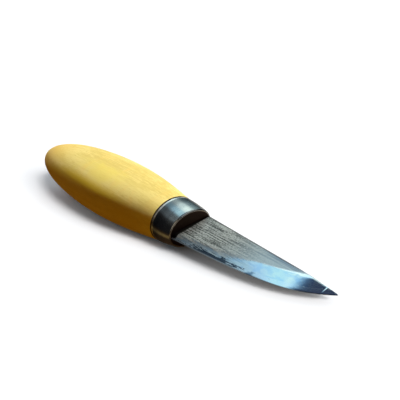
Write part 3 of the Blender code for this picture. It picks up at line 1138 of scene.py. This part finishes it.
# What the metal mirrors: a dark lining with a tall window, lamps and dim panels, over a floor lit in strips.
# Directions are azimuth from +X towards +Y and elevation above the floor, in degrees.
tentLook = {
    "radius": 2.5,
    "fineness": 6,
    "lift": 0.0004,
    "dark": (0.010, 0.010, 0.011),
    "sky": {
        "elevation": (46.0, 51.0, 66.0, 80.0),
        "slant": 1.6,
        "slantAt": 59.0,
        "stops": (
            (123.5, (0.05, 0.07, 0.12)),
            (128.5, (0.08, 0.15, 0.26)),
            (132.0, (0.52, 0.98, 1.35)),
            (135.0, (1.00, 1.42, 1.38)),
            (138.0, (0.62, 1.10, 1.35)),
            (141.5, (0.74, 1.25, 1.32)),
            (150.0, (0.60, 0.95, 1.22)),
            (157.0, (0.46, 0.70, 0.84)),
            (164.0, (0.62, 0.87, 0.98)),
            (180.0, (0.50, 0.60, 0.65)),
            (225.0, (0.03, 0.03, 0.03)),
        ),
    },
    # elevation, azimuth and colour; each lies over the one before
    "patches": {
        "shade": ((59.0, 62.5, 78.0, 84.0), (160.0, 168.0, 205.0, 220.0), (0.125, 0.15, 0.16)),
        "haze": ((-4.0, 32.0, 36.0, 40.0), (100.0, 122.0, 145.0, 165.0), (0.29, 0.43, 0.47)),
        "lampRear": ((28.0, 38.0, 50.0, 56.0), (120.0, 130.0, 142.0, 156.0), (0.62, 0.80, 0.86)),
        "lamp": ((30.0, 39.0, 55.0, 57.5), (92.0, 104.0, 132.0, 140.0), (1.32, 1.64, 1.60)),
        "panelNear": ((8.0, 22.0, 60.0, 76.0), (306.0, 318.0, 348.0, 360.0), (0.36, 0.31, 0.24)),
        "panelFront": ((20.0, 28.0, 52.0, 60.0), (10.0, 22.0, 64.0, 76.0), (0.45, 0.47, 0.48)),
        "panelFar": ((4.0, 10.0, 40.0, 46.0), (160.0, 174.0, 206.0, 216.0), (0.31, 0.33, 0.34)),
    },
    "floorFar": (0.42, 0.42, 0.41),
    "floorNear": (0.19, 0.13, 0.05),
    "floorShade": (0.035, 0.020, 0.010),
    "stripNear": (-0.055, -0.040, -0.023, -0.019),
    "stripFar": (0.012, 0.018, 1.0, 1.8),
    "floorRun": (0.001, 0.002),
    "hiddenFrom": ("camera", "diffuse", "transmission", "volume_scatter", "shadow"),
}


def makeTent():
    look, sky = tentLook, tentLook["sky"]
    material, tree = startMaterial("tentLining")
    tree.nodes.remove(tree.nodes["Principled BSDF"])
    x, y, z = splitXyz(tree, addNode(tree, "ShaderNodeTexCoord").outputs["Object"])
    inDegrees = 180 / math.pi
    turn = times(tree, addMath(tree, "ARCTAN2", y, x), inDegrees)
    azimuth = addMath(tree, "FLOORED_MODULO", turn, 360.0)
    rise = addMath(tree, "ARCSINE", addMath(tree, "DIVIDE", z, look["radius"]))
    elevation = times(tree, rise, inDegrees)
    slant = times(tree, less(tree, elevation, sky["slantAt"]), sky["slant"])
    around = addMath(tree, "DIVIDE", less(tree, azimuth, slant), 360.0)
    ramp = addNode(tree, "ShaderNodeValToRGB", [around])
    while len(ramp.color_ramp.elements) < len(sky["stops"]):
        ramp.color_ramp.elements.new(1.0)
    for stop, (angle, colour) in zip(ramp.color_ramp.elements, sky["stops"]):
        stop.position = angle / 360.0
        stop.color = (*colour, 1.0)
    lining = mixColour(tree, addBand(tree, elevation, sky["elevation"]), look["dark"], ramp.outputs[0])
    for high, wide, colour in look["patches"].values():
        inside = times(tree, addBand(tree, elevation, high), addBand(tree, azimuth, wide))
        lining = mixColour(tree, inside, lining, colour)
    ground = mixColour(tree, addBand(tree, y, look["stripNear"]), look["floorShade"], look["floorNear"])
    ground = mixColour(tree, addBand(tree, y, look["stripFar"]), ground, look["floorFar"])
    lining = mixColour(tree, addRamp(tree, z, *look["floorRun"]), ground, lining)
    light = addNode(tree, "ShaderNodeEmission", {"Color": lining})
    tree.links.new(light.outputs[0], tree.nodes["Material Output"].inputs["Surface"])
    bm = bmesh.new()
    bmesh.ops.create_icosphere(bm, subdivisions=look["fineness"], radius=look["radius"])
    whole = bm.verts[:] + bm.edges[:] + bm.faces[:]
    cut = bmesh.ops.bisect_plane(bm, geom=whole, plane_co=(0, 0, look["lift"]), plane_no=(0, 0, 1),
                                 clear_inner=True)
    rim = [g for g in cut["geom_cut"] if isinstance(g, bmesh.types.BMEdge)]
    bmesh.ops.contextual_create(bm, geom=rim)
    tent = addObject("tent", meshFrom(bm, "tent", material))
    for ray in look["hiddenFrom"]:
        setattr(tent, "visible_" + ray, False)


# Each lamp lights the floor alone, or all but the floor.
lampSet = {
    "keys": {
        "keyFront": {"azimuth": 48.5, "elevation": 44.0, "watts": 5.5},
        "keyRear": {"azimuth": 153.0, "elevation": 41.0, "watts": 2.4},
    },
    "keySize": 0.06,
    "keyAway": 0.7,
    "suns": {
        "warmFill": {
            "slope": (-0.2, 1.0, -0.35),
            "angle": 150.0,
            "strength": 0.42,
            "colour": (1.0, 0.50, 0.006),
            "floor": "EXCLUDE",
        },
        "floorSun": {
            "slope": (-1.2, 0.20, -1.0),
            "angle": 15.0,
            "strength": 2.15,
            "colour": (1.03, 1.0, 0.98),
            "floor": "INCLUDE",
        },
        "floorLow": {
            "slope": (-2.0, 0.0, -1.0),
            "angle": 22.0,
            "strength": 2.3,
            "colour": (1.0, 1.0, 1.0),
            "floor": "INCLUDE",
        },
        "floorFill": {
            "slope": (0.0, 0.0, -1.0),
            "angle": 118.0,
            "strength": 1.28,
            "colour": (0.95, 0.985, 1.03),
            "floor": "INCLUDE",
        },
    },
    "ambient": (0.004, 0.004, 0.004),
}


def hangLamp(name, data, towards, floor, state):
    lamp = addObject(name, data)
    lamp.rotation_mode = "QUATERNION"
    lamp.rotation_quaternion = Vector(towards).to_track_quat("-Z", "Y")
    lamp.visible_glossy = False
    group = bpy.data.collections.new(name + "Lights")
    group.objects.link(floor)
    lamp.light_linking.receiver_collection = group
    group.collection_objects[0].light_linking.link_state = state
    return lamp


def makeLamps(floor):
    for name, made in lampSet["keys"].items():
        azimuth, elevation = math.radians(made["azimuth"]), math.radians(made["elevation"])
        level = math.cos(elevation)
        out = Vector((math.cos(azimuth) * level, math.sin(azimuth) * level, math.sin(elevation)))
        data = bpy.data.lights.new(name, "AREA")
        data.shape = "SQUARE"
        data.size = lampSet["keySize"]
        data.energy = made["watts"]
        hangLamp(name, data, -out, floor, "EXCLUDE").location = out * lampSet["keyAway"]
    for name, made in lampSet["suns"].items():
        data = bpy.data.lights.new(name, "SUN")
        data.angle = math.radians(made["angle"])
        data.energy = made["strength"]
        data.color = made["colour"]
        hangLamp(name, data, made["slope"], floor, made["floor"])


def makeWorld():
    world = bpy.data.worlds.new("studio")
    world.use_nodes = True
    tree = world.node_tree
    sky = mixColour(tree, seenShare(tree), lampSet["ambient"], (1.0, 1.0, 1.0))
    tree.links.new(sky, tree.nodes["Background"].inputs["Color"])
    bpy.context.scene.world = world


photoView = {
    "pixels": 400,
    "focalPixels": 602.5,
    "azimuth": 52.448,
    "elevation": 28.243,
    "roll": -5.398,
    "collarPixel": (190.557, 228.473),
    "collarAway": 210.153,
    "sensor": 36.0,
    "nearest": 0.005,
}


# The photo's camera, found by matching outlines: where the collar's face is seen, how far and from where
def makeCamera():
    view = photoView
    azimuth, elevation, roll = (math.radians(view[k]) for k in ("azimuth", "elevation", "roll"))
    level = math.cos(elevation)
    back = Vector((math.sin(azimuth) * level, -math.cos(azimuth) * level, math.sin(elevation)))
    right = Vector((0, 0, 1)).cross(back).normalized()
    up = back.cross(right)
    turned = math.cos(roll) * right + math.sin(roll) * up
    upright = math.cos(roll) * up - math.sin(roll) * right
    perPixel = view["collarAway"] / view["focalPixels"]
    across, down = ((p - view["pixels"] / 2) * perPixel for p in view["collarPixel"])
    place = back * view["collarAway"] - turned * across + upright * down
    data = bpy.data.cameras.new("photoCamera")
    data.sensor_width = view["sensor"]
    data.lens = view["focalPixels"] / view["pixels"] * view["sensor"]
    data.clip_start = view["nearest"]
    camera = addObject("photoCamera", data)
    axes = Matrix((turned, upright, back)).transposed().to_4x4()
    camera.matrix_world = layDown @ Matrix.Translation(place * mm) @ axes
    bpy.context.scene.camera = camera


floor = makeFloor()
makeTent()
makeLamps(floor)
makeWorld()
makeCamera()
bpy.context.scene.view_settings.view_transform = "Standard"
print("stage: floor, tent, lamps, world and camera set")
